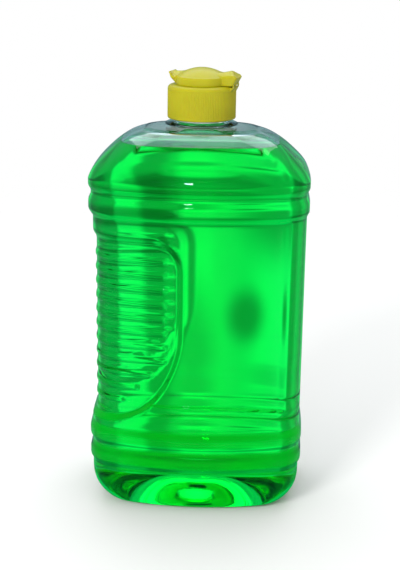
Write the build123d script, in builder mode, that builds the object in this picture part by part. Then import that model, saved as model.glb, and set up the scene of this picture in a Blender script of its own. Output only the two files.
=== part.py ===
from build123d import *

import math
import os

# One-litre cologne bottle: a blow-moulded clear PET bottle with a flip-top screw cap.
# Millimetres, +Z up. The origin is the middle of the base, on the plane it stands on.
# -X is the side with the hand grip, +X the side with the plain post, -Y the front.

# Body section: a rectangle with bowed sides and rounded corners
ridge_half_width = 50.2
ridge_half_depth = 37.0
front_bow = 9.0
side_bow = 1.0
corner_radius = 15.0
corner_limit = 0.9

# Steps in from the ridges to the other levels of the wall
post_step = 1.1
label_step = 1.9
grip_step = 3.4
rib_rise = 0.6

# Heights of the body
heel_height = 19.0
heel_step = 9.0
heel_shares = (0.0, 0.15, 0.45, 1.0)
heel_power = 2.5
shoulder_start = 156.4

# Ridges round the body: two above the heel, one under the shoulder, and the shoulder's own
band_height = 9.6
band_slope_height = 3.0
band_slope_depth = 1.0
band_groove = 1.0
heel_groove = 2.0
shoulder_band_height = 5.6

# Shoulder: each row is its share of the rise and of the step in, at the sides and at the front
shoulder_rise = 20.4
shoulder_flat_half_width = 26.2
shoulder_flat_half_depth = 20.0
shoulder_shares = (
    (0.0, 0.0, 0.0),
    (0.216, 0.092, 0.094),
    (0.471, 0.292, 0.318),
    (0.706, 0.517, 0.565),
    (0.892, 0.758, 0.800),
    (1.0, 1.0, 1.0),
)

# Label panel, sunk all round but for the post on the +X side
label_bottom = 54.0
label_bottom_drop = 2.6
post_width = 9.7

# Hand grip, sunk round the -X side, with a sloped lower corner and ribs
grip_bottom = 46.0
grip_top_gap = 9.2
grip_reach = 43.2
grip_corner = 14.0
grip_slope_height = 22.0
grip_slope_reach = 20.2
rib_pitch = 6.7
rib_width = 3.4
rib_reach = 36.5
rib_top_gap = 9.1

# Base, pressed up in the middle
base_rim_side = 5.2
base_rim_front = 6.0
push_up_height = 8.0
push_up_crown = 0.45

# Wall, fill and the space left between liquid and wall
wall = 0.7
fill_drop = 6.2
fill_gap = 0.3

# Neck with its support ring and thread
neck_radius = 12.4
neck_wall = 1.5
neck_height = 16.9
neck_root_width = 4.6
neck_flare = 1.5
mouth_chamfer = 0.5
support_ring_width = 4.2
support_ring_rise = 1.6
support_ring_thickness = 0.9
support_ring_slope = 0.6
thread_pitch = 3.18
thread_turns = 1.75
thread_drop = 8.7
thread_height = 1.2
thread_root_width = 1.7
thread_crest_width = 0.8
thread_sink = 0.3

# Screw cap
cap_wall = 1.55
cap_skirt_gap = 3.0
cap_deck_thickness = 1.6
cap_edge = 1.4
cap_edge_crown = 0.4
cap_thread_turns = 1.5
thread_clearance = 0.35
knurl_count = 90
knurl_depth = 0.35
knurl_relief = 0.1
knurl_margin = 0.4
orifice_radius = 2.4
spout_wall = 1.2
spout_height = 1.6
cap_angle = -16.0

# Sealing washer under the deck of the cap
washer_thickness = 1.1
washer_hole_radius = 6.0
washer_clearance = 0.3

# Flip lid: a dome with a crowned bar across it, from the thumb tab to the hinge block
lid_margin = 3.9
lid_rim_height = 3.6
lid_height = 7.8
lid_wall = 1.2
bar_half_width = 4.7
bar_height = 5.7
bar_edge_height = 3.4
bar_edge_slope = 0.053
bar_crown = 2.4
bar_rounding = 0.4
tab_inset = 0.8
tab_lip = 1.3
tab_edge_height = 4.9
tab_root_overlap = 0.4
hinge_crest_inset = 1.5
hinge_crest_height = 6.9
hinge_crest_run = 4.7
hinge_overhang = 2.0
hinge_nose_height = 3.9
hinge_shelf_proud = 0.1
hinge_shelf_depth = 2.4
hinge_shelf_lip = 0.7
hinge_clearance = 0.3
plug_clearance = 0.3
plug_length = 1.2

# Places worked out from the sizes above
shoulder_top = shoulder_start + shoulder_rise
shoulder_band_bottom = shoulder_start - shoulder_band_height
upper_band_bottom = shoulder_band_bottom - band_groove - band_height
heel_band_bottom = heel_height + heel_groove
band_bottoms = (heel_band_bottom, heel_band_bottom + band_height + band_groove,
                upper_band_bottom)
label_edge = ridge_half_width - post_width
grip_top = upper_band_bottom - grip_top_gap
grip_edge = grip_reach - ridge_half_width
grip_slope_start = grip_bottom + grip_slope_height
grip_slope_end = grip_slope_reach - ridge_half_width
rib_end = rib_reach - ridge_half_width
first_rib = grip_top - rib_top_gap
rib_count = 1 + int((first_rib - grip_bottom) / rib_pitch)
push_up_half_width = ridge_half_width - heel_step - base_rim_side
push_up_half_depth = ridge_half_depth - heel_step - base_rim_front
fill_height = shoulder_top - fill_drop
neck_bore_radius = neck_radius - neck_wall
neck_top = shoulder_top + neck_height
neck_root_radius = neck_radius + neck_root_width
support_ring_radius = neck_radius + support_ring_width
support_ring_height = shoulder_top + support_ring_rise
thread_start = neck_top - thread_drop
cap_bottom = support_ring_height + cap_skirt_gap
deck_bottom = neck_top + washer_thickness
deck_top = deck_bottom + cap_deck_thickness
cap_bore_radius = neck_radius + thread_height + thread_clearance
cap_radius = cap_bore_radius + cap_wall
spout_radius = orifice_radius + spout_wall
lid_radius = cap_radius - lid_margin
tab_reach = cap_radius - tab_inset
tab_root = lid_radius - tab_root_overlap
hinge_crest = cap_radius - hinge_crest_inset
hinge_reach = cap_radius + hinge_overhang
hinge_shelf_reach = cap_radius + hinge_shelf_proud

os.makedirs("parts", exist_ok=True)


def wall_outline(height, width_in=0.0, depth_in=0.0, inset=0.0):
    """Bowed and rounded rectangle of the body, at a height, stepped in from the ridges."""
    half_width = ridge_half_width - width_in - inset
    half_depth = ridge_half_depth - depth_in - inset
    bow = front_bow * (half_width / ridge_half_width) ** 2
    corner_x = half_width - side_bow
    corner_y = half_depth - bow
    with BuildSketch(Plane.XY.offset(height)) as outline:
        with BuildLine():
            ThreePointArc((-corner_x, -corner_y), (0, -half_depth), (corner_x, -corner_y))
            ThreePointArc((corner_x, -corner_y), (half_width, 0), (corner_x, corner_y))
            ThreePointArc((corner_x, corner_y), (0, half_depth), (-corner_x, corner_y))
            ThreePointArc((-corner_x, corner_y), (-half_width, 0), (-corner_x, -corner_y))
        make_face()
        rounding = min(corner_radius, corner_limit * corner_y) - inset
        fillet(outline.vertices(), rounding)
    return outline.sketch


def column(bottom, top, step, inset):
    """Straight length of the body at one level of the wall."""
    with BuildPart() as shaft:
        extrude(wall_outline(bottom, step, step, inset), amount=top - bottom)
    return shaft.part


def band(bottom):
    """Ridge that runs round the body, with sloped flanks."""
    with BuildPart() as ridge:
        extrude(wall_outline(bottom), amount=band_height)
        for rim in ridge.faces().filter_by(Axis.Z):
            chamfer(rim.edges(), band_slope_depth, band_slope_height, reference=rim)
    return ridge.part


def shoulder_band():
    """Ridge under the shoulder: sloped below, and in line with the shoulder above."""
    with BuildPart() as ridge:
        extrude(wall_outline(shoulder_band_bottom), amount=shoulder_band_height)
        rim = ridge.faces().sort_by(Axis.Z)[0]
        chamfer(rim.edges(), band_slope_depth, band_slope_height, reference=rim)
    return ridge.part


def heel(inset):
    """Curved foot of the body, from the standing edge up to the straight wall."""
    rows = []
    for share in heel_shares:
        step = post_step + (heel_step - post_step) * (1 - share) ** heel_power
        rows.append(wall_outline(inset + share * (heel_height - inset), step, step, inset))
    with BuildPart() as foot:
        loft(rows)
    return foot.part


def shoulder(inset):
    """Hipped shoulder that leans in to the flat round the neck."""
    width_in = ridge_half_width - shoulder_flat_half_width
    depth_in = ridge_half_depth - shoulder_flat_half_depth
    rows = [(shoulder_rise * rise, width_in * side, depth_in * front)
            for rise, side, front in shoulder_shares]
    last = len(rows) - 1
    outlines = []
    for number, (rise, side, front) in enumerate(rows):
        low = rows[max(number - 1, 0)]
        high = rows[min(number + 1, last)]
        lean = math.atan2(high[1] - low[1], high[0] - low[0])
        if number == 0:
            lean = 0
        drop = inset * math.sin(lean)
        if number == last:
            drop = inset
        height = shoulder_start + rise - drop
        outlines.append(wall_outline(height, side, front, inset * math.cos(lean)))
    with BuildPart() as hip:
        loft(outlines)
    return hip.part


def label_recess(inset):
    """Space taken out of the body by the label panel, all round but for the post."""
    with BuildPart() as recess:
        with BuildSketch(Plane.XZ) as front:
            with BuildLine():
                far = -2 * ridge_half_width
                edge = label_edge + inset
                low = label_bottom - inset
                top = upper_band_bottom
                Polyline((edge, low - label_bottom_drop), (edge, top), (far, top), (far, low))
                Line((far, low), (0, low))
                TangentArc((0, low), (edge, low - label_bottom_drop), tangent=(1, 0))
            make_face()
        extrude(amount=2 * ridge_half_depth, both=True)
        core = wall_outline(0, label_step, label_step, inset)
        extrude(core, amount=2 * shoulder_start, mode=Mode.SUBTRACT)
    return recess.part


def grip_recess(inset):
    """Space taken out of the body by the hand grip, round its -X side."""
    far = -2 * ridge_half_width
    edge = grip_edge + inset
    top = grip_top + inset
    bottom = grip_bottom - inset
    with BuildPart() as recess:
        with BuildSketch(Plane.XZ) as front:
            with BuildLine():
                Polyline((far, top), (edge, top), (edge, grip_slope_start),
                         (grip_slope_end, bottom), (far, bottom), (far, top))
            make_face()
            inner = front.vertices().filter_by(lambda point: point.X > far / 2)
            fillet(inner, grip_corner)
        extrude(amount=2 * ridge_half_depth, both=True)
        core = wall_outline(0, grip_step, grip_step, inset)
        extrude(core, amount=2 * shoulder_start, mode=Mode.SUBTRACT)
    return recess.part


def rib_right_end(height):
    """Where a rib ends towards the front panel: it keeps clear of the sloped lower corner."""
    slope = (grip_edge - grip_slope_end) / (grip_slope_start - grip_bottom)
    below = max(0.0, grip_slope_start + rib_pitch - height)
    return rib_end - slope * below


def grip_rib(height):
    """One raised bar of the grip, round the -X side."""
    end = rib_right_end(height)
    step = grip_step - rib_rise
    with BuildPart() as rib:
        extrude(wall_outline(height - rib_width / 2, step, step), amount=rib_width)
        with BuildSketch(Plane.XZ):
            with Locations((end - ridge_half_width, height)):
                Rectangle(2 * ridge_half_width, rib_width)
        extrude(amount=2 * ridge_half_depth, both=True, mode=Mode.INTERSECT)
    return rib.part


def push_up(inset):
    """Hollow pressed up into the base, so that the bottle stands on its rim."""
    with BuildPart() as hollow:
        with BuildSketch():
            Ellipse(push_up_half_width + inset, push_up_half_depth + inset)
        with BuildSketch(Plane.XY.offset(push_up_height + inset)):
            Ellipse(push_up_crown * push_up_half_width, push_up_crown * push_up_half_depth)
        loft()
    return hollow.part


def body_form(inset=0.0):
    """Body without its ridges and ribs, or the same form set in by a distance."""
    with BuildPart() as form:
        add(heel(inset))
        add(column(heel_height, shoulder_start, post_step, inset))
        add(shoulder(inset))
        add(label_recess(inset), mode=Mode.SUBTRACT)
        add(grip_recess(inset), mode=Mode.SUBTRACT)
        add(push_up(inset), mode=Mode.SUBTRACT)
    return form.part


def neck_outside():
    """Neck, support ring and the hollow curve where the neck meets the shoulder."""
    ring_bottom = support_ring_height
    ring_top = support_ring_height + support_ring_thickness
    low = shoulder_top - 2 * wall
    with BuildPart() as neck:
        with BuildSketch(Plane.XZ):
            with BuildLine():
                Polyline((0, neck_top), (0, low), (neck_root_radius, low),
                         (neck_root_radius, shoulder_top), (neck_radius, ring_bottom),
                         (support_ring_radius, ring_bottom), (support_ring_radius, ring_top),
                         (neck_radius, ring_top + support_ring_slope),
                         (neck_radius, neck_top - mouth_chamfer),
                         (neck_radius - mouth_chamfer, neck_top), close=True)
            make_face()
        revolve(axis=Axis.Z)
    return neck.part


def neck_bore():
    """Bore of the neck, flared where it opens into the body."""
    low = shoulder_top - wall
    with BuildPart() as bore:
        with BuildSketch(Plane.XZ):
            with BuildLine():
                Polyline((0, low), (neck_bore_radius + neck_flare, low),
                         (neck_bore_radius, low + neck_flare), (neck_bore_radius, deck_top),
                         (0, deck_top), close=True)
            make_face()
        revolve(axis=Axis.Z)
    return bore.part


def screw_thread(radius, outward, start, turns):
    """Screw thread on a wall of the given radius, pointing outward (+1) or inward (-1)."""
    sink = -outward * thread_sink
    crest = outward * thread_height
    with BuildPart() as ridge:
        with BuildLine() as path:
            Helix(thread_pitch, thread_pitch * turns, radius, center=(0, 0, start))
        across = Plane(origin=path.line @ 0, x_dir=(1, 0, 0), z_dir=path.line % 0)
        with BuildSketch(across):
            with BuildLine():
                Polyline((sink, -thread_root_width / 2), (crest, -thread_crest_width / 2),
                         (crest, thread_crest_width / 2), (sink, thread_root_width / 2),
                         close=True)
            make_face()
        sweep(path=path.line, is_frenet=True)
    return ridge.part


with BuildPart() as bottle:
    add(body_form())
    for height in band_bottoms:
        add(band(height))
    add(shoulder_band())
    for number in range(rib_count):
        add(grip_rib(first_rib - number * rib_pitch))
    add(neck_outside())
    add(screw_thread(neck_radius, 1, thread_start, thread_turns))
    add(body_form(wall), mode=Mode.SUBTRACT)
    add(neck_bore(), mode=Mode.SUBTRACT)
bottle.part.label = "bottle"
export_step(bottle.part, "parts/bottle.step")

with BuildPart() as cologne:
    add(body_form(wall + fill_gap))
    with BuildSketch(Plane.XY.offset(fill_height)):
        Rectangle(4 * ridge_half_width, 4 * ridge_half_depth)
    extrude(amount=neck_top, mode=Mode.SUBTRACT)
cologne.part.label = "cologne"
export_step(cologne.part, "parts/cologne.step")

with BuildPart() as sealing_washer:
    with BuildSketch(Plane.XY.offset(neck_top)):
        Circle(cap_bore_radius - washer_clearance)
        Circle(washer_hole_radius, mode=Mode.SUBTRACT)
    extrude(amount=washer_thickness)
sealing_washer.part.label = "sealing_washer"
export_step(sealing_washer.part, "parts/sealing_washer.step")


def knurled_sleeve():
    """Outside of the skirt, with fine upright grooves for the fingers."""
    low = cap_bottom + knurl_margin
    high = deck_top - cap_edge
    with BuildPart() as sleeve:
        with BuildSketch(Plane.XY.offset(low)):
            Circle(cap_radius)
            Circle(cap_bore_radius, mode=Mode.SUBTRACT)
            with PolarLocations(cap_radius, knurl_count):
                RegularPolygon(knurl_depth, 4, mode=Mode.SUBTRACT)
        extrude(amount=high - low)
    return sleeve.part


def hinge_shelf():
    """Shelf at the +X edge of the deck, sloped below, which the film hinge springs from."""
    top = deck_top - hinge_clearance
    low = top - hinge_shelf_depth
    with BuildPart() as shelf:
        with BuildSketch(Plane.XZ):
            with BuildLine():
                Polyline((0, top), (hinge_shelf_reach, top),
                         (hinge_shelf_reach, top - hinge_shelf_lip),
                         (cap_radius - 2 * knurl_depth, low), (0, low), close=True)
            make_face()
        extrude(amount=bar_half_width, both=True)
        with BuildSketch(Plane.XY.offset(low)):
            Circle(cap_bore_radius)
        extrude(amount=hinge_shelf_depth, mode=Mode.SUBTRACT)
    return shelf.part


def cap_shell():
    """Skirt, deck and pouring spout, turned about the axis of the neck."""
    root_radius = cap_radius - knurl_depth - knurl_relief
    edge_start = deck_top - cap_edge
    with BuildPart() as shell:
        with BuildSketch(Plane.XZ):
            with BuildLine():
                Polyline((spout_radius, deck_top), (spout_radius, deck_top + spout_height),
                         (orifice_radius, deck_top + spout_height), (orifice_radius, deck_bottom),
                         (cap_bore_radius, deck_bottom), (cap_bore_radius, cap_bottom),
                         (root_radius, cap_bottom), (root_radius, edge_start),
                         (cap_radius, edge_start),
                         (cap_radius - cap_edge_crown, deck_top - cap_edge_crown),
                         (cap_radius - cap_edge, deck_top), close=True)
            make_face()
        revolve(axis=Axis.Z)
    return shell.part


with BuildPart() as screw_cap:
    add(cap_shell())
    add(knurled_sleeve())
    add(hinge_shelf(), rotation=(0, 0, cap_angle))
    add(screw_thread(cap_bore_radius, -1, thread_start - thread_pitch / 2, cap_thread_turns))
screw_cap.part.label = "screw_cap"
export_step(screw_cap.part, "parts/screw_cap.step")


def lid_dome():
    """Round lid with a low dome, hollow below."""
    rim_top = deck_top + lid_rim_height
    dome_top = deck_top + lid_height
    inner_radius = lid_radius - lid_wall
    with BuildPart() as dome:
        with BuildSketch(Plane.XZ):
            with BuildLine():
                Polyline((0, dome_top), (0, deck_top), (lid_radius, deck_top),
                         (lid_radius, rim_top))
                TangentArc((0, dome_top), (lid_radius, rim_top), tangent=(1, 0))
            make_face()
        revolve(axis=Axis.Z)
    with BuildPart() as hollow:
        with BuildSketch(Plane.XZ):
            with BuildLine():
                Polyline((0, dome_top - lid_wall), (0, deck_top), (inner_radius, deck_top),
                         (inner_radius, rim_top - lid_wall / 2))
                TangentArc((0, dome_top - lid_wall), (inner_radius, rim_top - lid_wall / 2),
                           tangent=(1, 0))
            make_face()
        revolve(axis=Axis.Z)
    return dome.part, hollow.part


def lid_bar():
    """Crowned bar across the lid: the thumb tab with its lip at -X, the hinge block at +X."""
    low = deck_top + hinge_clearance
    top = deck_top + bar_height
    with BuildPart() as bar:
        with BuildSketch(Plane.XZ):
            with BuildLine():
                Polyline((-tab_root, low), (-tab_reach, deck_top + tab_edge_height),
                         (-tab_reach + bar_rounding, top), (hinge_crest - hinge_crest_run, top),
                         (hinge_crest, deck_top + hinge_crest_height),
                         (hinge_reach, deck_top + hinge_nose_height), (hinge_shelf_reach, low),
                         close=True)
            make_face()
        extrude(amount=bar_half_width, both=True)
        edge = (tab_lip - tab_reach, 0, deck_top + bar_edge_height)
        with BuildSketch(Plane(origin=edge, x_dir=(0, 1, 0), z_dir=(1, 0, bar_edge_slope))):
            with BuildLine():
                far = 2 * bar_half_width
                Polyline((-far, -bar_crown), (0, bar_crown), (far, -bar_crown),
                         (far, bar_height), (-far, bar_height), close=True)
            make_face()
        extrude(amount=2 * (tab_reach + hinge_reach), mode=Mode.SUBTRACT)
    return bar.part


dome, hollow = lid_dome()
with BuildPart() as flip_lid:
    add(dome)
    add(lid_bar(), rotation=(0, 0, cap_angle))
    add(hollow, mode=Mode.SUBTRACT)
    with BuildSketch(Plane.XY.offset(deck_top - plug_length)):
        Circle(orifice_radius - plug_clearance)
    extrude(amount=plug_length + lid_height - lid_wall)
flip_lid.part.label = "flip_lid"
export_step(flip_lid.part, "parts/flip_lid.step")
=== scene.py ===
# %% [markdown]
# # A one-litre bottle of cologne
# The object is a blow-moulded bottle of clear PET, filled with green cologne and closed by a
# yellow flip-top cap. The CAD model gives every size and every moving body. This script gives the
# pieces their looks: thin clear walls, a coloured liquid that bends the light, and satin plastic.

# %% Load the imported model
import math

import bpy
import numpy as np
from mathutils import Matrix, Vector


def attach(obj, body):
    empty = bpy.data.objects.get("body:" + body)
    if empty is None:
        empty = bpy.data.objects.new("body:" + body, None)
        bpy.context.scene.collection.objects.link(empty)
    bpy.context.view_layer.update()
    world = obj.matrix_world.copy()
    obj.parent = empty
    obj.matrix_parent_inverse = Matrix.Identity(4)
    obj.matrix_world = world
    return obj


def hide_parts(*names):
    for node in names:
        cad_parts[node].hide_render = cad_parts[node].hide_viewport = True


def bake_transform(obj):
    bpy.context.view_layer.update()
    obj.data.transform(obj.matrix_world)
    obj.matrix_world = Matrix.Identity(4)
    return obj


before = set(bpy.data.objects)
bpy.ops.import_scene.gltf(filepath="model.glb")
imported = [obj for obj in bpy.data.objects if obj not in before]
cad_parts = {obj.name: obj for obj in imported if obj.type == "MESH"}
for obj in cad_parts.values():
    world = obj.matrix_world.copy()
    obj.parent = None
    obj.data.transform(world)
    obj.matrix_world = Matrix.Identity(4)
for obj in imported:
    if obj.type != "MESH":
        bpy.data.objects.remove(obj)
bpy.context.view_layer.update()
MM = 0.001
print("CAD nodes:", sorted(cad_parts))

# %% [markdown]
# ## Small helpers
# Colours are picked as sRGB hex values, as a paint program gives them, but shaders work on linear
# light, so one function turns the one into the other. A second function adds a shader node with its
# settings and its links in one line, which keeps each material short enough to read at a glance.

# %% Colour and node helpers


def linear(hex_colour):
    """RGBA in linear light from an sRGB hex value such as "FFCC00"."""
    parts = [int(hex_colour[i:i + 2], 16) / 255 for i in (0, 2, 4)]
    return tuple(c / 12.92 if c <= 0.04045 else ((c + 0.055) / 1.055) ** 2.4 for c in parts) + (1.0,)


def add_node(tree, kind, settings=None, **inputs):
    """Adds one node. Settings are its properties, inputs are values or sockets to link.

    An input is named as its socket, with _ for a space, or in_0, in_1 and so on by its place.
    """
    node = tree.nodes.new("ShaderNode" + kind)
    for name, value in (settings or {}).items():
        setattr(node, name, value)
    for name, value in inputs.items():
        socket = node.inputs[int(name[3:]) if name.startswith("in_") else name.replace("_", " ")]
        if isinstance(value, bpy.types.NodeSocket):
            tree.links.new(value, socket)
        else:
            socket.default_value = value
    return node


def new_material(name):
    """An empty node material and its tree."""
    material = bpy.data.materials.new(name)
    material.use_nodes = True
    material.node_tree.nodes.clear()
    return material, material.node_tree


# %% [markdown]
# ## Clear PET
# The bottle is stretch-blown PET, a glass-clear polyester. Blowing leaves a glossy skin with a very
# slight waviness, because the cooling wall shrinks unevenly against the mould. That waviness is what
# makes the highlights on a plastic bottle look soft and a little broken, where glass looks perfect.
#
# How strongly a surface mirrors depends on the step in index across it: 5 % from air to PET, but
# only 0.5 % where cologne wets the PET. So the wetted inside gets a finish of its own. It mirrors a
# ninth as much, which is why a bottle looks clearer where it is full than where it is empty.

# %% PET finishes
PET_IOR = 1.575
COLOGNE_IOR = 1.36
SWELL_LENGTH = 9.0  # mm between the soft swells of a blown wall
WETTED_MIRROR = 0.108  # of the mirroring of PET in air

pet_finishes = []
for name, mirror in (("stretch_blown_PET", 1.0), ("stretch_blown_PET_wetted", WETTED_MIRROR)):
    clear_pet, tree = new_material(name)
    coordinates = add_node(tree, "TexCoord")
    swells = add_node(tree, "TexNoise", Vector=coordinates.outputs["Object"],
                      Scale=1 / (SWELL_LENGTH * MM), Detail=1.0)
    swell_bump = add_node(tree, "Bump", Strength=0.10, Distance=0.15 * MM,
                          Height=swells.outputs["Fac"])
    pet = add_node(tree, "BsdfPrincipled", Base_Color=linear("FEFFFF"), Roughness=0.02,
                   IOR=PET_IOR, Specular_Tint=(mirror, mirror, mirror, 1.0),
                   Transmission_Weight=1.0, Normal=swell_bump.outputs["Normal"])
    add_node(tree, "OutputMaterial", Surface=pet.outputs["BSDF"])
    pet_finishes.append(clear_pet)
print("PET finishes:", [finish.name for finish in pet_finishes])

# %% [markdown]
# ## Green cologne
# Cologne is water and alcohol, with an index of refraction of about 1.36. Its dye swallows red
# within a few millimetres and blue within a few centimetres, and lets green through. That is volume
# absorption: thin places stay pale, and the middle of the bottle glows green. The wall round it
# does the mirroring, so the liquid itself only bends the light.

# %% Cologne
DYE_DENSITY = 90.0  # per metre, for the colour that is swallowed most
DYE_COLOUR = (0.0, 1.0, 0.60, 1.0)  # what is left of each colour, in linear light

green_cologne, tree = new_material("dyed_cologne")
liquid = add_node(tree, "BsdfPrincipled", Base_Color=linear("FFFFFF"), Roughness=0.0,
                  IOR=COLOGNE_IOR, Specular_Tint=(0.0, 0.0, 0.0, 1.0), Transmission_Weight=1.0)
dye = add_node(tree, "VolumeAbsorption", Color=DYE_COLOUR, Density=DYE_DENSITY)
add_node(tree, "OutputMaterial", Surface=liquid.outputs["BSDF"], Volume=dye.outputs["Volume"])

# %% [markdown]
# ## Yellow polypropylene
# Cap and lid are injection-moulded polypropylene, a waxy plastic with a satin skin. A little light
# goes into it and comes out nearby, which softens its shading. The tool leaves a fine grain, and the
# melt leaves faint clouds, so no face is quite one colour. The lid is a little glossier than the cap.
# Its yellow is also painted a little lighter than the cap's: painted light, for a top that faces up.

# %% Polypropylene finishes
PP_IOR = 1.49
GRAIN = 0.35  # mm, the spark-eroded texture of the mould
FLOW = 8.0  # mm, the faint clouds where the melt flowed


def polypropylene(name, colour, roughness):
    """Satin moulded polypropylene with a fine grain and a soft shade."""
    material, tree = new_material(name)
    coordinates = add_node(tree, "TexCoord")
    grain = add_node(tree, "TexNoise", Vector=coordinates.outputs["Object"],
                     Scale=1 / (GRAIN * MM), Detail=2.0)
    grain_bump = add_node(tree, "Bump", Strength=0.25, Distance=0.02 * MM,
                          Height=grain.outputs["Fac"])
    flow = add_node(tree, "TexNoise", Vector=coordinates.outputs["Object"],
                    Scale=1 / (FLOW * MM), Detail=3.0)
    shade = add_node(tree, "ValToRGB", Fac=flow.outputs["Fac"])
    darker, full = shade.color_ramp.elements
    darker.position, darker.color = 0.3, tuple(0.9 * c for c in linear(colour)[:3]) + (1.0,)
    full.position, full.color = 0.7, linear(colour)
    shader = add_node(tree, "BsdfPrincipled", Base_Color=shade.outputs["Color"],
                      Roughness=roughness, IOR=PP_IOR, Subsurface_Weight=0.15,
                      Subsurface_Scale=1.5 * MM, Normal=grain_bump.outputs["Normal"])
    add_node(tree, "OutputMaterial", Surface=shader.outputs["BSDF"])
    return material


yellow_cap = polypropylene("yellow_polypropylene_cap", "B6AF08", 0.42)
# The lid's lighter yellow is painted light: cap and lid are the same yellow plastic.
yellow_lid_painted_lighter = polypropylene("yellow_polypropylene_lid_painted_lighter", "BAB416", 0.34)

# %% [markdown]
# ## Foam washer
# A ring of expanded polyethylene foam seals the cap on the lip of the neck. Small bubbles scatter the
# light, so it looks dull and white. The closed cap hides it, so a bump of small cells is enough.

# %% Foam of the sealing washer
FOAM_CELL = 0.3  # mm across one bubble

white_foam, tree = new_material("expanded_PE_foam")
coordinates = add_node(tree, "TexCoord")
cells = add_node(tree, "TexVoronoi", Vector=coordinates.outputs["Object"],
                 Scale=1 / (FOAM_CELL * MM))
cell_bump = add_node(tree, "Bump", Strength=0.4, Distance=0.05 * MM, Height=cells.outputs["Distance"])
foam_shader = add_node(tree, "BsdfPrincipled", Base_Color=linear("EEEEEA"), Roughness=0.8,
                       Normal=cell_bump.outputs["Normal"])
add_node(tree, "OutputMaterial", Surface=foam_shader.outputs["BSDF"])

# %% [markdown]
# ## The form of the wall
# The section of the bottle is a rectangle with bowed sides and rounded corners. One formula gives
# its points for any half width and half depth, so every ring of the mesh has the same columns, and
# the mesh can be skinned like knitting. The relief of the wall, which is bands, label panel, hand
# grip and ribs, is a second formula that says how far the wall is stepped in at each place. The
# panel and the grip have softer edges on the back, which is seen through the cologne.

# %% Sizes of the body, in millimetres
ridge_half_width, ridge_half_depth = 50.2, 37.0
front_bow, side_bow, corner_radius = 9.0, 1.0, 15.0
post_step, label_step, grip_step, rib_rise = 1.1, 1.9, 3.4, 0.5
heel_height, heel_step, heel_power, foot_radius = 19.0, 9.0, 2.5, 2.2
band_bottoms, band_height, band_slope = (21.0, 31.6, 140.2), 9.6, 3.2
shoulder_band_bottom, shoulder_start, shoulder_top = 150.8, 156.4, 176.8
shoulder_rows = ((0.0, 0.0, 0.0), (4.4, 2.2, 1.6), (9.6, 7.0, 5.4), (14.4, 12.4, 9.6),
                 (18.2, 18.2, 13.6), (20.4, 24.0, 17.0))
label_bottom, label_drop, label_edge, label_top = 54.0, 2.6, 40.5, 140.2
grip_top, grip_bottom, grip_edge, grip_corner = 131.0, 46.0, -7.0, 14.0
grip_slope_start, grip_slope_end = 68.0, -30.0
rib_count, rib_pitch, rib_half, rib_end, first_rib = 12, 6.7, 1.7, -13.7, 121.9
push_up_half_width, push_up_half_depth, push_up_height = 36.0, 22.0, 8.0
low_label_flank, rear_label_flank, grip_flank, rear_grip_flank = 0.9, 12.0, 3.4, 9.0
side_label_flank, top_label_flank = 2.6, 1.5
wall, fill_height = 0.7, 170.6

# %% [markdown]
# A column of the mesh has a place in its quarter: 0 to 1 along the bowed front, 1 to 2 round the
# corner, 2 to 3 along the side. The front left has the most columns, since the grip lies there.

# %% Columns of the mesh


def steps(*runs):
    """Positions made of runs, each with its start, its stop and its number of steps."""
    return np.concatenate([np.linspace(*run, endpoint=False) for run in runs])


def backward(positions):
    """The same quarter, walked from the side to the front."""
    return np.append(3, positions[:0:-1])


front_right = steps((0, 1, 18), (1, 1.08, 2), (1.08, 1.32, 12), (1.32, 2, 10), (2, 3, 7))
back_right = steps((0, 1, 10), (1, 2, 10), (2, 3, 4))
back_left = steps((0, 1, 18), (1, 2, 8), (2, 3, 4))
front_left = steps((0, 1, 44), (1, 2, 10), (2, 3, 6))
quarters = (front_right, backward(back_right), back_left, backward(front_left))
place = np.concatenate(quarters)
sign_x = np.repeat((1, 1, -1, -1), [len(quarter) for quarter in quarters])
sign_y = np.repeat((-1, 1, 1, -1), [len(quarter) for quarter in quarters])
print("columns round the bottle:", len(place))


# %% Section of the body


def outline(half_width, half_depth):
    """X and Y of every column, for one half width and half depth in each row."""
    bow = front_bow * (half_width / ridge_half_width) ** 2
    corner_x, corner_y = half_width - side_bow, half_depth - bow
    front_radius = (corner_x ** 2 + bow ** 2) / (2 * bow)
    side_radius = (corner_y ** 2 + side_bow ** 2) / (2 * side_bow)
    front_middle, side_middle = half_depth - front_radius, half_width - side_radius
    # The corner's centre keeps the same distance from both arcs.
    near, far = front_radius - corner_radius, side_radius - corner_radius
    apart = np.hypot(front_middle, side_middle)
    along = (near ** 2 - far ** 2 + apart ** 2) / (2 * apart)
    across = np.sqrt(near ** 2 - along ** 2)
    unit_x, unit_y = side_middle / apart, -front_middle / apart
    centre_x = along * unit_x + across * unit_y
    centre_y = front_middle + along * unit_y - across * unit_x
    front_turn = np.arctan2(centre_x, centre_y - front_middle)
    side_turn = np.arctan2(centre_x - side_middle, centre_y)
    turn = np.where(place <= 1, place * front_turn,
                    np.where(place <= 2, front_turn + (place - 1) * (side_turn - front_turn),
                             side_turn + (place - 2) * (math.pi / 2 - side_turn)))
    radius = np.where(place <= 1, front_radius, np.where(place <= 2, corner_radius, side_radius))
    middle_x = np.where(place <= 1, 0, np.where(place <= 2, centre_x, side_middle))
    middle_y = np.where(place <= 1, front_middle, np.where(place <= 2, centre_y, 0))
    x = middle_x + radius * np.sin(turn)
    y = middle_y + radius * np.cos(turn)
    return sign_x * x, sign_y * y


# %% Relief of the wall


def smooth(value):
    """0 to 1 with soft ends."""
    value = np.clip(value, 0, 1)
    return value * value * (3 - 2 * value)


def flank(value):
    """0 to 1 as the sloped flank of a mould: nearly straight, with slightly eased ends."""
    return 0.6 * np.clip(value, 0, 1) + 0.4 * smooth(value)


def both(a, b, radius):
    """Signed distance to where two regions overlap, with its corner rounded."""
    return (np.minimum(-radius, np.maximum(a, b))
            + np.hypot(np.maximum(a + radius, 0), np.maximum(b + radius, 0)))


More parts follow.
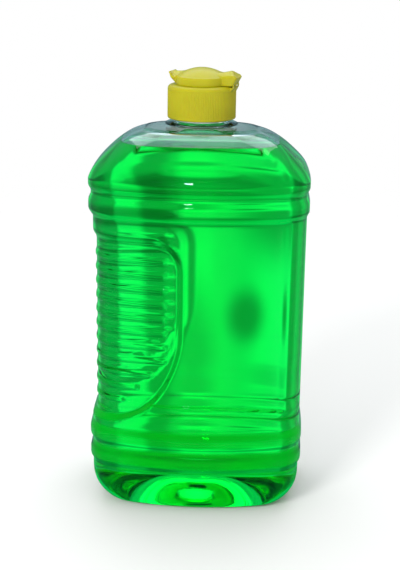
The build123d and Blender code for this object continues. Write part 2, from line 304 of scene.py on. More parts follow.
def rib_relief(x, z):
    """0 to 1 on the raised bars of the grip, which have round ends."""
    lean = (grip_edge - grip_slope_end) / (grip_slope_start - grip_bottom)
    relief = np.zeros_like(x)
    for number in range(rib_count):
        height = first_rib - number * rib_pitch
        end = rib_end - lean * max(0.0, grip_slope_start + rib_pitch - height)
        reach = np.hypot(np.maximum(x - end + rib_half, 0), z - height) / rib_half
        relief = np.maximum(relief, smooth((1 - reach) / 0.6))
    return relief


def wall_step(x, z):
    """How far the outside of the wall is stepped in from the ridges, in mm."""
    low = label_bottom - label_drop * np.clip(x / label_edge, 0, 1) ** 2
    low_flank = np.where(sign_y > 0, rear_label_flank, low_label_flank)
    label = (flank(0.5 - (x - label_edge) / side_label_flank) * flank(0.5 + (z - low) / low_flank)
             * flank(0.5 + (label_top - z) / top_label_flank))
    step = post_step + (label_step - post_step) * label
    run, rise = grip_slope_start - grip_bottom, grip_slope_end - grip_edge
    below = (run * (x - grip_edge) + rise * (z - grip_slope_start)) / math.hypot(run, rise)
    grip = both(both(x - grip_edge, z - grip_top, grip_corner), below, grip_corner)
    grip = both(grip, grip_bottom - z, grip_corner / 2)
    sunk = flank(0.5 - grip / np.where(sign_y > 0, rear_grip_flank, grip_flank))
    step = step + (grip_step - step) * sunk - rib_rise * rib_relief(x, z) * sunk
    for bottom in band_bottoms:
        inside = np.minimum(z - bottom, bottom + band_height - z)
        step = step * (1 - smooth(inside / band_slope))
    step = step * (1 - smooth((z - shoulder_band_bottom) / band_slope))
    step = step + (heel_step - post_step) * np.clip(1 - z / heel_height, 0, 1) ** heel_power
    foot = foot_radius - np.clip(z, 0, foot_radius)
    return step + foot_radius - np.sqrt(foot_radius ** 2 - foot ** 2)


# %% [markdown]
# Rows lie close together only where the wall has an edge to show. Each rib takes the same set of
# rows, so its round top and its two flanks fall on the mesh in the same way all the way down.

# %% Rows of the mesh, from the foot up to the shoulder
CLOSEST_ROWS, CLOSEST_FOOT_ROWS = 0.28, 0.01  # mm
foot_rows = foot_radius * (1 - np.cos(np.linspace(0, math.pi / 2, 6)[:-1]))
rib_offsets = np.array((-3.35, -2.5, -1.8, -1.4, -1.0, -0.5, 0.0, 0.5, 1.0, 1.4, 1.8, 2.5))
rib_rows = (first_rib - rib_pitch * np.arange(rib_count)[:, None] + rib_offsets).ravel()
plain_rows = steps((foot_radius, 20.6, 12), (20.6, 41.6, 22), (41.6, 45, 3), (50.8, 55, 10),
                   (125.2, 139, 12), (139, 150, 13), (150, shoulder_start, 9))
heights = [0.0]
for height in np.sort(np.concatenate([foot_rows[1:], rib_rows, plain_rows])):
    if height - heights[-1] > (CLOSEST_ROWS if height > foot_radius else CLOSEST_FOOT_ROWS):
        heights.append(height)


def shoulder_curve(count):
    """Rises and steps of the shoulder on one smooth curve through its rows."""
    rows = np.array(shoulder_rows)
    padded = np.vstack([rows[0] - (3.0, 0.0, 0.0), rows, 2 * rows[-1] - rows[-2]])
    points = []
    for t in np.linspace(0, len(rows) - 1, count):
        k = min(int(t), len(rows) - 2)
        u = t - k
        a, b, c, d = padded[k:k + 4]
        points.append(0.5 * (2 * b + (c - a) * u + (2 * a - 5 * b + 4 * c - d) * u ** 2
                             + (3 * b - a - 3 * c + d) * u ** 3))
    return np.array(points)


shoulder = shoulder_curve(24)
z_rows = np.concatenate([heights, shoulder_start + shoulder[:, 0]])
width_in = np.concatenate([np.zeros(len(heights)), shoulder[:, 1]])
depth_in = np.concatenate([np.zeros(len(heights)), shoulder[:, 2]])
print("rows from foot to neck:", len(z_rows))

# %% Outside of the body as a grid of points
z_grid = np.repeat(z_rows[:, None], len(place), axis=1)
half_width = ridge_half_width - width_in[:, None]
half_depth = ridge_half_depth - depth_in[:, None]
x_plain, _ = outline(half_width - post_step, half_depth - post_step)
step = wall_step(x_plain, z_grid)
x_wall, y_wall = outline(half_width - step, half_depth - step)
wall_rings = np.stack([x_wall, y_wall, z_grid], axis=-1)

# %% [markdown]
# The bottle stands on a rim, because its base is pushed up in the middle: the dome stiffens the thin
# floor. The rings run from the middle of the dome out to the rim, and on to the foot of the wall.

# %% Base with its push-up
turn = np.arctan2(y_wall[0] / (ridge_half_depth - heel_step),
                  x_wall[0] / (ridge_half_width - heel_step))
base_rings = []
for share in (0.02, 0.12, 0.25, 0.38, 0.5, 0.6, 0.7, 0.79, 0.87, 0.94, 1.0):
    rise = push_up_height * (1 - smooth((share - 0.2) / 0.8))
    base_rings.append(np.stack([share * push_up_half_width * np.cos(turn),
                                share * push_up_half_depth * np.sin(turn),
                                np.full_like(turn, rise)], axis=-1))
rim = base_rings[-1]
for share in (0.25, 0.6):
    base_rings.append(rim + share * (wall_rings[0] - rim))
body_rings = np.concatenate([np.array(base_rings), wall_rings])


def inset_rings(rings, distance):
    """The same rings, moved inward along the surface normal."""
    along = np.roll(rings, -1, axis=1) - np.roll(rings, 1, axis=1)
    up = np.gradient(rings, axis=0)
    normal = np.cross(along, up)
    normal /= np.maximum(np.linalg.norm(normal, axis=-1, keepdims=True), 1e-9)
    return rings - distance * normal


# %% [markdown]
# ## Neck
# The neck is round, but it uses the columns of the body, so that the shoulder can run into it
# without a seam. Its screw thread is a rise of the wall that winds upward with the turn. Rows lie
# very close at each fold, and the inside of the root runs parallel to its outside. Without both, the
# light there bends the wrong way and dark crescents show.

# %% Neck: root, support ring, thread and mouth
neck_radius, bore_radius, neck_top, ring_radius = 12.4, 10.9, 193.7, 16.6
root_radius, root_height, inner_root_radius, root_power = 12.6, 178.35, 12.2, 2.4
thread_pitch, thread_turns, thread_start, thread_height = 3.18, 1.75, 185.0, 1.2
thread_run_out, thread_sharpness = 0.06, 1.3
round_turn = np.arctan2(y_wall[-1], x_wall[-1])


def circle_ring(radius, height, turn=round_turn):
    """One round ring, at the given turns."""
    return np.stack([radius * np.cos(turn), radius * np.sin(turn),
                     np.full_like(turn, height)], axis=-1)


def thread_rise(height, start, turns, turn=round_turn):
    """Height of a screw thread over its wall, at each turn."""
    turns_up = (height - start) / thread_pitch
    turn_here = (turn / (2 * math.pi)) % 1.0
    rise = np.zeros_like(turn)
    for whole in range(-1, 3):
        wound = turn_here + whole
        near = 1 - np.abs(turns_up - wound) * thread_pitch
        ends = smooth(wound / thread_run_out) * smooth((turns - wound) / thread_run_out)
        rise = np.maximum(rise, thread_height * smooth(near * thread_sharpness) * ends)
    return rise


neck_profile = [(root_radius, root_height), (12.55, 178.45), (12.6, 178.6), (12.8, 178.68),
                (13.3, 178.7), (15.8, 178.7), (16.3, 178.74), (16.52, 178.84), (ring_radius, 179.0),
                (16.52, 179.18), (16.3, 179.3), (15.6, 179.38), (13.6, 179.55), (12.9, 179.75),
                (12.55, 180.05), (neck_radius, 180.5), (neck_radius, 182.0), (neck_radius, 183.4)]
neck_profile += [(neck_radius, height) for height in np.arange(183.8, 192.4, 0.36)]
neck_profile += [(neck_radius, 193.0), (12.25, 193.5), (11.9, neck_top), (11.2, neck_top),
                 (bore_radius, 193.4)]
neck_rings = []
for share in (0.08, 0.18, 0.32, 0.5, 0.68, 0.82, 0.91, 0.96, 0.985):
    flat = wall_rings[-1] + share * (circle_ring(root_radius, root_height) - wall_rings[-1])
    flat[:, 2] = shoulder_top + (root_height - shoulder_top) * share ** root_power
    neck_rings.append(flat)
for radius, height in neck_profile:
    neck_rings.append(circle_ring(radius + thread_rise(height, thread_start, thread_turns), height))
bore_rings = [circle_ring(bore_radius, height) for height in (190.0, 186.0, 182.0, 179.5)]
bore_rings += [circle_ring(10.95, 178.9), circle_ring(11.15, 178.4), circle_ring(11.55, 178.0)]
inner_rings = inset_rings(body_rings, wall)
for share in (0.97, 0.88, 0.74, 0.58, 0.4, 0.22, 0.1):
    flat = inner_rings[-1] + share * (circle_ring(inner_root_radius, root_height) - inner_rings[-1])
    flat[:, 2] = inner_rings[-1][:, 2] + (root_height - shoulder_top) * share ** root_power
    bore_rings.append(flat)
print("rings of the neck:", len(neck_rings) + len(bore_rings))

# %% [markdown]
# ## Skins
# Each modelled piece is a stack of rings with the same number of points. Joining each ring to the
# next with four-sided faces gives a skin. Its ends are closed by fans of triangles, or sewn together.

# %% A mesh object, and a skin over rings of points


def mesh_piece(name, points, faces, finishes, slots=None, smooth_shading=True):
    """A mesh object from points in metres. Slots give the finish of each face."""
    mesh = bpy.data.meshes.new(name)
    mesh.from_pydata(points, [], faces)
    for finish in finishes:
        mesh.materials.append(finish)
    mesh.polygons.foreach_set("use_smooth", [smooth_shading] * len(faces))
    if slots is not None:
        mesh.polygons.foreach_set("material_index", slots)
    mesh.validate()
    piece = bpy.data.objects.new(name, mesh)
    bpy.context.scene.collection.objects.link(piece)
    print(f"{name}: {len(points)} points, {sum(len(face) - 2 for face in faces)} triangles")
    return piece


def ring_faces(count, columns, closed):
    """Faces between neighbouring rings. A closed stack also joins its last ring to its first."""
    row, column = np.meshgrid(np.arange(count if closed else count - 1), np.arange(columns),
                              indexing="ij")
    after, above = (column + 1) % columns, (row + 1) % count
    return np.stack([row * columns + column, row * columns + after,
                     above * columns + after, above * columns + column],
                    axis=-1).reshape(-1, 4).tolist()


def skin(name, rings, finishes, second=None):
    """A smooth closed object over rings of points in millimetres.

    The second finish goes on the rows of faces for which second is true.
    """
    rings = np.asarray(rings)
    count, columns = rings.shape[:2]
    points, faces = rings.reshape(-1, 3), ring_faces(count, columns, closed=False)
    slots = None if second is None else np.append(np.repeat(second, columns).astype(int),
                                                  np.zeros(2 * columns, dtype=int))
    for row in (0, count - 1):
        points = np.vstack([points, rings[row].mean(axis=0)])
        for column in range(columns):
            here, after = row * columns + column, row * columns + (column + 1) % columns
            rim_edge = (after, here) if row == 0 else (here, after)
            faces.append((*rim_edge, len(points) - 1))
    return mesh_piece(name, (points * MM).tolist(), faces, finishes, slots)


# %% The bottle
MENISCUS_RISE, MENISCUS_WIDTH = 1.3, 1.1  # mm
contact = fill_height + MENISCUS_RISE
bottle_rings = np.concatenate([body_rings, np.array(neck_rings), np.array(bore_rings),
                               inner_rings[::-1]])
ring_heights = bottle_rings[:, :, 2].mean(axis=1)
is_inner = np.arange(len(bottle_rings)) >= len(bottle_rings) - len(inner_rings)
wetted = is_inner[:-1] & (ring_heights[:-1] < contact)
pet_bottle = skin("pet_bottle", bottle_rings, pet_finishes, wetted)
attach(pet_bottle, "bottle")
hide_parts("bottle")

# %% [markdown]
# ## The liquid inside
# Where liquid wets a clear wall, there is no air between them. So the skin of the liquid lies in the
# middle of the wall, not inside it: a ray then goes from plastic to liquid without meeting air. Its
# top creeps up the wall in a small meniscus, which shows as a dark line round the shoulder.

# %% Cologne with its meniscus
SURFACE_REACH = 30.0  # mm from the edge of the surface to its middle, about
EDGE_GAP = 0.25  # mm that the last whole row stays below the edge

liquid_rings = inset_rings(body_rings, wall / 2)
filled = [ring for ring in liquid_rings if ring[:, 2].mean() < contact - EDGE_GAP]
above = next(ring for ring in liquid_rings if ring[:, 2].mean() >= contact - EDGE_GAP)
below = filled[-1][:, 2].mean()
share = (contact - below) / (above[:, 2].mean() - below)
edge_ring = filled[-1] + share * (above - filled[-1])
edge_ring[:, 2] = contact
filled.append(edge_ring)
for inward in (0.3, 0.6, 1.0, 1.5, 2.2, 3.2, 5.0, 8.0, 13.0, 20.0):
    ring = edge_ring * (1 - inward / SURFACE_REACH)
    ring[:, 2] = fill_height + MENISCUS_RISE * math.exp(-inward / MENISCUS_WIDTH)
    filled.append(ring)
cologne_fill = skin("cologne_fill", filled, [green_cologne])
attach(cologne_fill, "bottle")
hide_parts("cologne")

# %% [markdown]
# ## Screw cap
# The cap is a turned form with a soft upper edge, which catches a bright line of light. Its skirt
# has fine upright ribs for the fingers. A shelf at one side carries the hinge of the lid. Screwed
# home, the cap stands 16 degrees off the front, so all that is on it is turned by that angle.

# %% Sizes of the cap, in millimetres
cap_radius, cap_bore, cap_bottom, deck_bottom, deck_top = 15.5, 13.95, 181.4, 194.8, 196.4
cap_turn, shelf_reach, bar_half = math.radians(-16.0), 15.6, 4.7
skirt_ribs, skirt_rib_depth = 124, 0.20

# %% Cap as rings, with ribs and shelf as changes of the radius
cap_columns = np.linspace(0, 2 * math.pi, 4 * skirt_ribs, endpoint=False)
rib_wave = 0.5 - 0.5 * np.cos(skirt_ribs * cap_columns)
along_hinge, across_hinge = np.cos(cap_columns), np.abs(np.sin(cap_columns))
faces_hinge = (along_hinge > 0) & (across_hinge * shelf_reach <= bar_half * along_hinge)
shelf_radius = np.where(faces_hinge, shelf_reach / np.maximum(along_hinge, 0.5), 0)


def cap_ring(radius, height, ribbed=0.0):
    """One ring of the cap: ribs cut in, shelf put on."""
    around = np.full_like(cap_columns, radius) - ribbed * skirt_rib_depth * rib_wave
    shelf = np.interp(height, (193.6, 195.3, 196.1, 196.15), (14.8, shelf_reach, shelf_reach, 0))
    if height > 193.6:
        around = np.maximum(around, shelf_radius * shelf / shelf_reach)
    return circle_ring(1.0, height, cap_columns + cap_turn) * np.stack(
        [around, around, np.ones_like(around)], axis=-1)


skirt = [(14.1, cap_bottom, 0), (14.9, cap_bottom, 0), (15.25, 181.5, 0), (15.45, 181.8, 0),
         (cap_radius, 182.1, 0), (cap_radius, 182.4, 1)]
skirt += [(cap_radius, height, 1) for height in np.arange(183.4, 193.6, 1.0)]
skirt += [(cap_radius, 193.7, 1), (cap_radius, 194.1, 1), (cap_radius, 194.5, 0.3), (15.48, 194.8, 0),
          (15.42, 195.1, 0), (15.3, 195.4, 0), (15.1, 195.7, 0), (14.85, 195.95, 0),
          (14.5, 196.15, 0), (14.1, 196.32, 0), (13.6, deck_top, 0)]
deck = [(12.4, deck_top), (11.0, deck_top), (3.6, deck_top), (3.6, 197.7), (3.4, 198.0), (2.6, 198.0),
        (2.4, 197.8), (2.4, deck_bottom), (8.0, deck_bottom), (13.7, deck_bottom), (cap_bore, 194.5)]
cap_rings = [cap_ring(*row) for row in skirt] + [cap_ring(*row) for row in deck]
for height in np.arange(194.0, 181.9, -0.4):
    winding = thread_rise(height, thread_start - thread_pitch / 2, 1.5, cap_columns + cap_turn)
    cap_rings.append(circle_ring(cap_bore - winding, height, cap_columns + cap_turn))
cap_rings.append(cap_ring(14.0, 181.5))
print("rings of the cap:", len(cap_rings))

# %% [markdown]
# The rings of the cap run out along the skirt, over the deck, down the spout and back through the
# bore, so the last ring is sewn to the first and the cap is one closed skin with two openings.

# %% The cap
cap_faces = ring_faces(len(cap_rings), len(cap_columns), closed=True)
cap_points = (np.reshape(cap_rings, (-1, 3)) * MM).tolist()
cap_body = mesh_piece("cap_body", cap_points, cap_faces, [yellow_cap])
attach(cap_body, "cap")
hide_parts("screw_cap")

# %% [markdown]
# ## Flip lid
# The lid is a low dome with a crowned bar across it. The bar ends in a thumb tab on the left and in
# the hinge block on the right. Both are heights over the same ground plan, and the lid takes the
# higher of the two, so the dome flows into its wings as it does in a moulded part.

# %% Plan and height of the lid, seen along the bar
lid_radius, dome_top, dome_radius = 11.6, 7.8, 18.1
tab_reach, tab_root, hinge_reach, hinge_low, plan_sharpness = 14.7, 11.2, 17.5, 15.6, 14
lid_columns = np.linspace(0, 2 * math.pi, 288, endpoint=False)


def bar_plan(tab, hinge):
    """Distance to the edge of the bar in each direction, with rounded corners."""
    reach = np.where(np.cos(lid_columns) > 0, hinge, tab)
    return ((np.abs(np.cos(lid_columns)) / reach) ** plan_sharpness
            + (np.abs(np.sin(lid_columns)) / bar_half) ** plan_sharpness) ** (-1 / plan_sharpness)


def dome_height(distance):
    """Height of the dome over the deck: an arc, over a short upright rim."""
    distance = np.minimum(distance, lid_radius)
    return dome_top - dome_radius + np.sqrt(dome_radius ** 2 - distance ** 2)


def bar_top(along, across):
    """Height of the bar over the deck: a crown that rises towards the hinge."""
    ridge = np.interp(along, (-14.7, -14.3, 9.3, 13.8, 14.3, 17.5), (5.1, 5.7, 5.7, 6.8, 6.8, 3.9))
    edge = 3.4 + 0.053 * (along + 13.4)
    crown = edge + 2.4 * (1 - across / bar_half)
    lip = smooth(along + 13.9)
    return ridge + np.minimum(crown - ridge, 0) * lip


def lid_height(along, across):
    """The higher of dome and bar, with a soft seam where they meet."""
    distance = np.hypot(along, across)
    dome = np.where(distance <= lid_radius + 0.01, dome_height(distance), 0)
    on_bar = smooth((bar_half + 0.25 - np.abs(across)) / 0.5)
    bar = bar_top(along, np.abs(across)) * on_bar
    seam = 0.35
    soft = seam * np.log1p(np.exp(-np.abs(dome - bar) / seam))
    return np.maximum(dome, bar) + soft * on_bar - 0.1


# %% Lid as rings: over the top, down the sides, and back through the hollow
top_plan = np.maximum(lid_radius, bar_plan(tab_reach, hinge_reach))
low_plan = np.maximum(lid_radius, bar_plan(tab_root, hinge_low))
is_wing = smooth((top_plan - lid_radius) / 0.4)


def lid_ring(distance, height):
    """One ring of the lid, at a distance and a height over the deck for each column."""
    ring = circle_ring(1.0, deck_top, lid_columns + cap_turn)
    ring[:, :2] *= np.broadcast_to(distance, lid_columns.shape)[:, None]
    ring[:, 2] += height
    return ring


edge_round = 0.5
lid_rings = []
for share in (0.02, 0.1, 0.2, 0.3, 0.4, 0.48, 0.55, 0.6, 0.65, 0.7, 0.74, 0.78, 0.82, 0.86, 0.9, 0.94):
    distance = share * (top_plan - edge_round)
    lid_rings.append(lid_ring(distance, lid_height(distance * np.cos(lid_columns),
                                                   distance * np.sin(lid_columns))))
rim_height = lid_height((top_plan - edge_round) * np.cos(lid_columns),
                        (top_plan - edge_round) * np.sin(lid_columns))
for inward, down in ((edge_round, 0.0), (0.3, 0.05), (0.13, 0.17), (0.03, 0.32), (0.0, edge_round)):
    lid_rings.append(lid_ring(top_plan - inward, rim_height - down))
lid_foot = 0.3 * is_wing
for share in (0.25, 0.5, 0.75, 0.94):
    lid_rings.append(lid_ring(top_plan + share * (low_plan - top_plan),
                              (rim_height - edge_round) * (1 - share) + lid_foot * share))
lid_rings.append(lid_ring(low_plan - 0.1, lid_foot))
for distance, height in ((10.6, 0.0), (10.4, 0.2), (10.4, 2.9), (8.0, 4.3), (5.0, 5.6), (2.4, 6.3),
                         (2.1, 6.0), (2.1, 0.0), (2.1, -0.9), (1.8, -1.2), (0.2, -1.2)):
    lid_rings.append(lid_ring(distance, np.full_like(lid_columns, height)))
lid_shell = skin("lid_shell", lid_rings[::-1], [yellow_lid_painted_lighter])
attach(lid_shell, "lid")
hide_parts("flip_lid")

# %% [markdown]
# ## Film hinge
# Cap and lid are moulded in one shot and joined by thin straps, which bend each time the lid opens.
# Each strap is a small strip from the cap up to the lid.

# %% Straps of the hinge
strap_thickness, strap_width, strap_taper = 0.35, 1.7, 0.12
strap_path = ((15.3, 195.3), (15.5, 195.6), (15.65, 195.95), (15.75, 196.3), (15.8, 196.6),
              (15.8, 196.9), (15.75, 197.2), (15.7, 197.5), (15.65, 197.8))
strap_faces = ring_faces(len(strap_path), 4, closed=False)
last = 4 * (len(strap_path) - 1)
strap_faces += [(3, 2, 1, 0), (last, last + 1, last + 2, last + 3)]


def turned(along, across, height):
    """A point of the closure, in metres, from its place along and across the hinge line."""
    return ((along * math.cos(cap_turn) - across * math.sin(cap_turn)) * MM,
            (along * math.sin(cap_turn) + across * math.cos(cap_turn)) * MM, height * MM)


for name, middle in (("hinge_strap_front", -3.6), ("hinge_strap_middle", 0.0),
                     ("hinge_strap_back", 3.6)):
    points = [turned(along + thick * strap_thickness,
                     middle + side * strap_width / 2 * (1 - strap_taper * thick), height)
              for along, height in strap_path
              for thick, side in ((0, -1), (0, 1), (1, 1), (1, -1))]
    strap = mesh_piece(name, points, strap_faces, [yellow_lid_painted_lighter], smooth_shading=False)
    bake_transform(strap)

# %% Washer of the CAD model, with its foam
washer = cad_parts["sealing_washer"]
washer.data.materials.clear()
washer.data.materials.append(white_foam)

# %% [markdown]
# ## Floor and air of the studio
# A clear bottle is drawn by what stands behind it. It bends the view, so each part of it shows a
# small patch of the studio: bright where it looks into a pale card, dark where it looks into a gap.
# The air here is a ring of pale cards with darker gaps, a pale blue sky, and white below the horizon
# that turns green further down. Only rays that have passed through something clear can see it. The
# camera sees plain white, and matt surfaces get even white light.
#
# The floor is paper that fades out away from the bottle, so that it meets the white without an edge.
# Rays through clear walls and mirrored rays see only the paper next to the bottle, and see it painted
# green: painted light, for paper lit through the cologne.

# %% Floor
PAPER_FADES = (("Is Camera Ray", 0.30, 0.75), ("Is Transmission Ray", 0.05, 0.10),
               ("Is Glossy Ray", 0.05, 0.10))  # metres from the middle, from paper to clear

bpy.ops.mesh.primitive_circle_add(vertices=96, radius=1.4, fill_type="TRIFAN")
floor = bpy.context.object
floor.name = "studio_floor"
floor_paper, tree = new_material("white_paper_sweep")
ray = add_node(tree, "LightPath")
place_on_floor = add_node(tree, "TexCoord")
reach = add_node(tree, "VectorMath", {"operation": "LENGTH"}, in_0=place_on_floor.outputs["Object"])
open_part = 0.0
for kind, start, stop in PAPER_FADES:
    fade = add_node(tree, "MapRange", {"interpolation_type": "SMOOTHSTEP"},
                    Value=reach.outputs["Value"], From_Min=start, From_Max=stop)
    part = add_node(tree, "Math", {"operation": "MULTIPLY"}, in_0=ray.outputs[kind],
                    in_1=fade.outputs["Result"])
    open_part = add_node(tree, "Math", {"operation": "MAXIMUM"}, in_0=open_part,
                         in_1=part.outputs["Value"]).outputs["Value"]
seen_by_clear = add_node(tree, "Math", {"operation": "MAXIMUM"},
                         in_0=ray.outputs["Is Transmission Ray"], in_1=ray.outputs["Is Glossy Ray"])
# Painted light: rays through clear walls and mirrored rays see the paper painted green, as if lit
# through the cologne.
paper_and_painted_green_light = add_node(tree, "MixRGB", Fac=seen_by_clear.outputs["Value"], Color1=linear("F4F4F2"),
                        Color2=linear("18C070"))
paper = add_node(tree, "BsdfDiffuse", Color=paper_and_painted_green_light.outputs["Color"])
clear_part = add_node(tree, "BsdfTransparent")
floor_mix = add_node(tree, "MixShader", Fac=open_part, in_1=paper.outputs["BSDF"],
                     in_2=clear_part.outputs["BSDF"])
add_node(tree, "OutputMaterial", Surface=floor_mix.outputs["Shader"])
floor.data.materials.append(floor_paper)

# %% [markdown]
# Each direction in the air has two angles: the azimuth, from straight behind the bottle to the right,
# and the elevation over the horizon. The cards are a ramp of greys over the azimuth, and sky, far
# wall and ground are a ramp over the elevation. Both together give the bottle its bright and dark
# stripes. A test render, whose air had its own colour in each direction, showed where each part of the
# bottle looks. The stops were placed by it, and then moved until mean colours came close to the photo.

# %% World: where a ray looks, as two angles
world = bpy.data.worlds.new("studio_air")
bpy.context.scene.world = world
world.use_nodes = True
tree = world.node_tree
tree.nodes.clear()
path = add_node(tree, "LightPath")
direction = add_node(tree, "TexCoord")
parts = add_node(tree, "SeparateXYZ", Vector=direction.outputs["Generated"])
turned_by = add_node(tree, "Math", {"operation": "ARCTAN2"}, in_0=parts.outputs["X"],
                     in_1=parts.outputs["Y"])
raised_by = add_node(tree, "Math", {"operation": "ARCSINE"}, in_0=parts.outputs["Z"])
azimuth, elevation = (
    add_node(tree, "Math", {"operation": "DEGREES"}, in_0=angle.outputs["Value"]).outputs["Value"]
    for angle in (turned_by, raised_by))

# %% Cards, and sky, far wall and ground: each stop is degrees and a colour
NEAR_CARDS = (
    (-50, "B8B8B8"), (-38, "989898"), (-27, "C8C8C8"), (-22, "A0A0A0"), (-15.5, "B4B4B4"),
    (-12.8, "FFFFFF"), (-9.0, "FFFFFF"), (-6.4, "ECECEC"), (-4.2, "F0F0F0"), (-3.0, "FFFFFF"),
    (-1.2, "FFFFFF"), (-0.2, "D4D4D4"), (0.8, "B0B0B0"), (2.2, "B0B0B0"), (3.2, "FFFFFF"),
    (5.4, "FFFFFF"), (7.0, "B0B0B0"), (13, "B0B0B0"), (26, "909090"), (40, "B8B8B8"))
BY_HEIGHT = (
    (-90, "186848"), (-60, "309068"), (-45, "80D0A8"), (-33, "FFFFFF"), (-15, "FFFFFF"),
    (-12.3, "E8E8E8"), (-11, "B8B8B8"), (-9, "A0A0A0"), (-5, "B0B8B8"), (-2, "B8D0D0"),
    (2, "A8D8DC"), (20, "98D0D8"), (45, "90C8D0"), (90, "90B8C0"))

ramps = []
for angle, stops in ((azimuth, NEAR_CARDS), (elevation, BY_HEIGHT)):
    low, high = stops[0][0], stops[-1][0]
    spread = add_node(tree, "MapRange", Value=angle, From_Min=low, From_Max=high)
    ramp = add_node(tree, "ValToRGB", Fac=spread.outputs["Result"])
    ramp.color_ramp.interpolation = "EASE"
    for at, colour in stops:
        ramp.color_ramp.elements.new((at - low) / (high - low)).color = linear(colour)
    ramp.color_ramp.elements.remove(ramp.color_ramp.elements[0])
    ramp.color_ramp.elements.remove(ramp.color_ramp.elements[-1])
    ramps.append(ramp.outputs["Color"])
near_cards, by_height = ramps
print("stops of the ramps:", len(NEAR_CARDS), len(BY_HEIGHT))

# %% Far cards, to the sides and behind the camera
waves = add_node(tree, "Math", {"operation": "MULTIPLY"}, in_0=turned_by.outputs["Value"], in_1=8.0)
far_wave = add_node(tree, "Math", {"operation": "COSINE"}, in_0=waves.outputs["Value"])
far_cards = add_node(tree, "MapRange", {"interpolation_type": "SMOOTHSTEP"},
                     Value=far_wave.outputs["Value"], From_Min=-0.9, From_Max=0.1)
far_tint = add_node(tree, "MixRGB", Fac=far_cards.outputs["Result"], Color1=linear("789098"),
                    Color2=linear("D0F4F8"))
off_middle = add_node(tree, "Math", {"operation": "ADD"}, in_0=azimuth, in_1=5.0)
off_either_way = add_node(tree, "Math", {"operation": "ABSOLUTE"}, in_0=off_middle.outputs["Value"])
is_far = add_node(tree, "MapRange", {"interpolation_type": "SMOOTHSTEP"},
                  Value=off_either_way.outputs["Value"], From_Min=36.0, From_Max=45.0)
cards = add_node(tree, "MixRGB", Fac=is_far.outputs["Result"], Color1=near_cards,
                 Color2=far_tint.outputs["Color"])
card_height = add_node(tree, "MapRange", {"interpolation_type": "SMOOTHSTEP"}, Value=elevation,
                       From_Min=-2.0, From_Max=12.0, To_Min=1.0, To_Max=0.3)
air = add_node(tree, "MixRGB", {"blend_type": "MULTIPLY"}, Fac=card_height.outputs["Result"],
               Color1=by_height, Color2=cards.outputs["Color"])

# %% [markdown]
# The label panel of the real bottle shows a soft dark spot, where the cologne bends the view to
# something dark. What stood there isn't known, so a few soft patches in the air stand in for it.

# %% Dark patches: middle and half size in degrees of azimuth and elevation, and colour
dark_patches = (
    ((-6.9, -17.9), (1.75, 1.15), "A4A4A4"), ((-9.5, -12.5), (3.2, 2.4), "ACACAC"),
    ((-2.0, -20.4), (2.0, 3.4), "CCCCCC"), ((-9.8, -24.5), (2.8, 3.0), "D8D8D8"))
looks_at = add_node(tree, "CombineXYZ", X=azimuth, Y=elevation)
for middle, half, colour in dark_patches:
    away = add_node(tree, "VectorMath", {"operation": "SUBTRACT"}, in_0=looks_at.outputs["Vector"],
                    in_1=(*middle, 0.0))
    in_halves = add_node(tree, "VectorMath", {"operation": "DIVIDE"}, in_0=away.outputs["Vector"],
                         in_1=(*half, 1.0))
    off = add_node(tree, "VectorMath", {"operation": "LENGTH"}, in_0=in_halves.outputs["Vector"])
    inside = add_node(tree, "MapRange", {"interpolation_type": "SMOOTHSTEP"},
                      Value=off.outputs["Value"], From_Min=0.4, From_Max=1.6, To_Min=1.0, To_Max=0.0)
    air = add_node(tree, "MixRGB", {"blend_type": "DARKEN"}, Fac=inside.outputs["Result"],
                   Color1=air.outputs["Color"], Color2=linear(colour))
print("nodes of the air:", len(tree.nodes))

# %% [markdown]
# The camera sees white. Rays through clear pieces see the air. Mirrored rays see a dim room that grows
# paler behind the bottle, because the rim of the bottle mirrors that side and its front mirrors the
# other. All other rays get an even white. Light crosses many walls here, so a ray may bounce often.

# %% World: what each kind of ray sees
even = add_node(tree, "Background", Color=linear("FFFFFF"), Strength=0.75)
white = add_node(tree, "Background", Color=linear("FFFFFF"), Strength=1.0)
through = add_node(tree, "Background", Color=air.outputs["Color"], Strength=1.0)
behind = add_node(tree, "MapRange", {"interpolation_type": "SMOOTHSTEP"}, Value=parts.outputs["Y"],
                  From_Min=-0.3, From_Max=0.7, To_Min=0.03, To_Max=0.34)
mirrored = add_node(tree, "Background", Color=linear("B0E4F0"), Strength=behind.outputs["Result"])
seen = even
for kind, chosen in (("Is Glossy Ray", mirrored), ("Is Transmission Ray", through),
                     ("Is Camera Ray", white)):
    seen = add_node(tree, "MixShader", Fac=path.outputs[kind], in_1=seen.outputs[0],
                    in_2=chosen.outputs[0])
add_node(tree, "OutputWorld", Surface=seen.outputs[0])
bpy.context.scene.cycles.max_bounces = 24
bpy.context.scene.cycles.transmission_bounces = 24
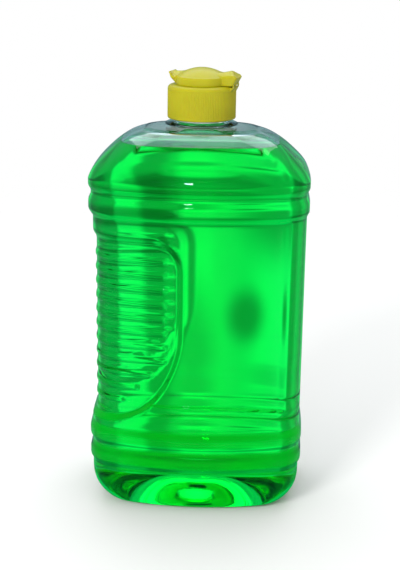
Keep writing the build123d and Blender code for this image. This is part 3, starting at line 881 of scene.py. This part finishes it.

# %% [markdown]
# ## Lamps
# A broad softbox above and behind lays a pale sheen on what faces up. A key lamp at the left front
# shapes the cap. Its square glare would show on the clear wall, so mirrored rays and rays through
# clear pieces don't see it, and a small window beside it gives small glints instead.

# %% Lamps


def softbox(name, stand, aim, size, watts, colour="FFFFFF"):
    """A square area lamp that looks at a point."""
    lamp = bpy.data.lights.new(name, "AREA")
    lamp.energy = watts
    lamp.size = size
    lamp.color = linear(colour)[:3]
    holder = bpy.data.objects.new(name, lamp)
    bpy.context.scene.collection.objects.link(holder)
    holder.location = stand
    view = Vector(aim) - Vector(stand)
    holder.rotation_euler = view.to_track_quat("-Z", "Y").to_euler()
    return holder


key = softbox("key_softbox", (-0.45, -0.85, 0.60), (0, 0, 0.1), 0.30, 6)
key.visible_glossy = key.visible_transmission = False
softbox("small_window", (-0.10, -0.95, 0.55), (0, 0, 0.1), 0.06, 0.35, "D0E4FF")
softbox("top_softbox", (0.0, 0.50, 1.05), (0, 0, 0.1), 1.1, 5.5, "F4FAFF")

# %% [markdown]
# ## Camera
# The camera was fitted to the outline of the bottle in the photo: where it stands, where it looks and
# how long its lens is. It looks down by about 16 degrees, from a little over half a metre away.

# %% Camera
PICTURE_HEIGHT, FOCAL_PIXELS, SENSOR = 570, 1227.94, 36
yaw, pitch, roll = math.radians(-2.30), math.radians(16.49), math.radians(0.83)
forward = Vector((math.sin(yaw) * math.cos(pitch), math.cos(yaw) * math.cos(pitch), -math.sin(pitch)))
side = Vector((math.cos(yaw), -math.sin(yaw), 0))
up = side.cross(forward)
image_right = math.cos(roll) * side + math.sin(roll) * up
image_up = -math.sin(roll) * side + math.cos(roll) * up
camera_data = bpy.data.cameras.new("camera")
camera = bpy.data.objects.new("camera", camera_data)
bpy.context.scene.collection.objects.link(camera)
camera.matrix_world = Matrix.Translation((0.02271, -0.55588, 0.26672)) @ Matrix(
    (image_right, image_up, -forward)).transposed().to_4x4()
camera_data.sensor_fit = "AUTO"
camera_data.sensor_width = SENSOR
camera_data.lens = SENSOR * FOCAL_PIXELS / PICTURE_HEIGHT
bpy.context.scene.camera = camera
bpy.context.scene.view_settings.view_transform = "Standard"
print("lens in mm:", round(camera_data.lens, 2))
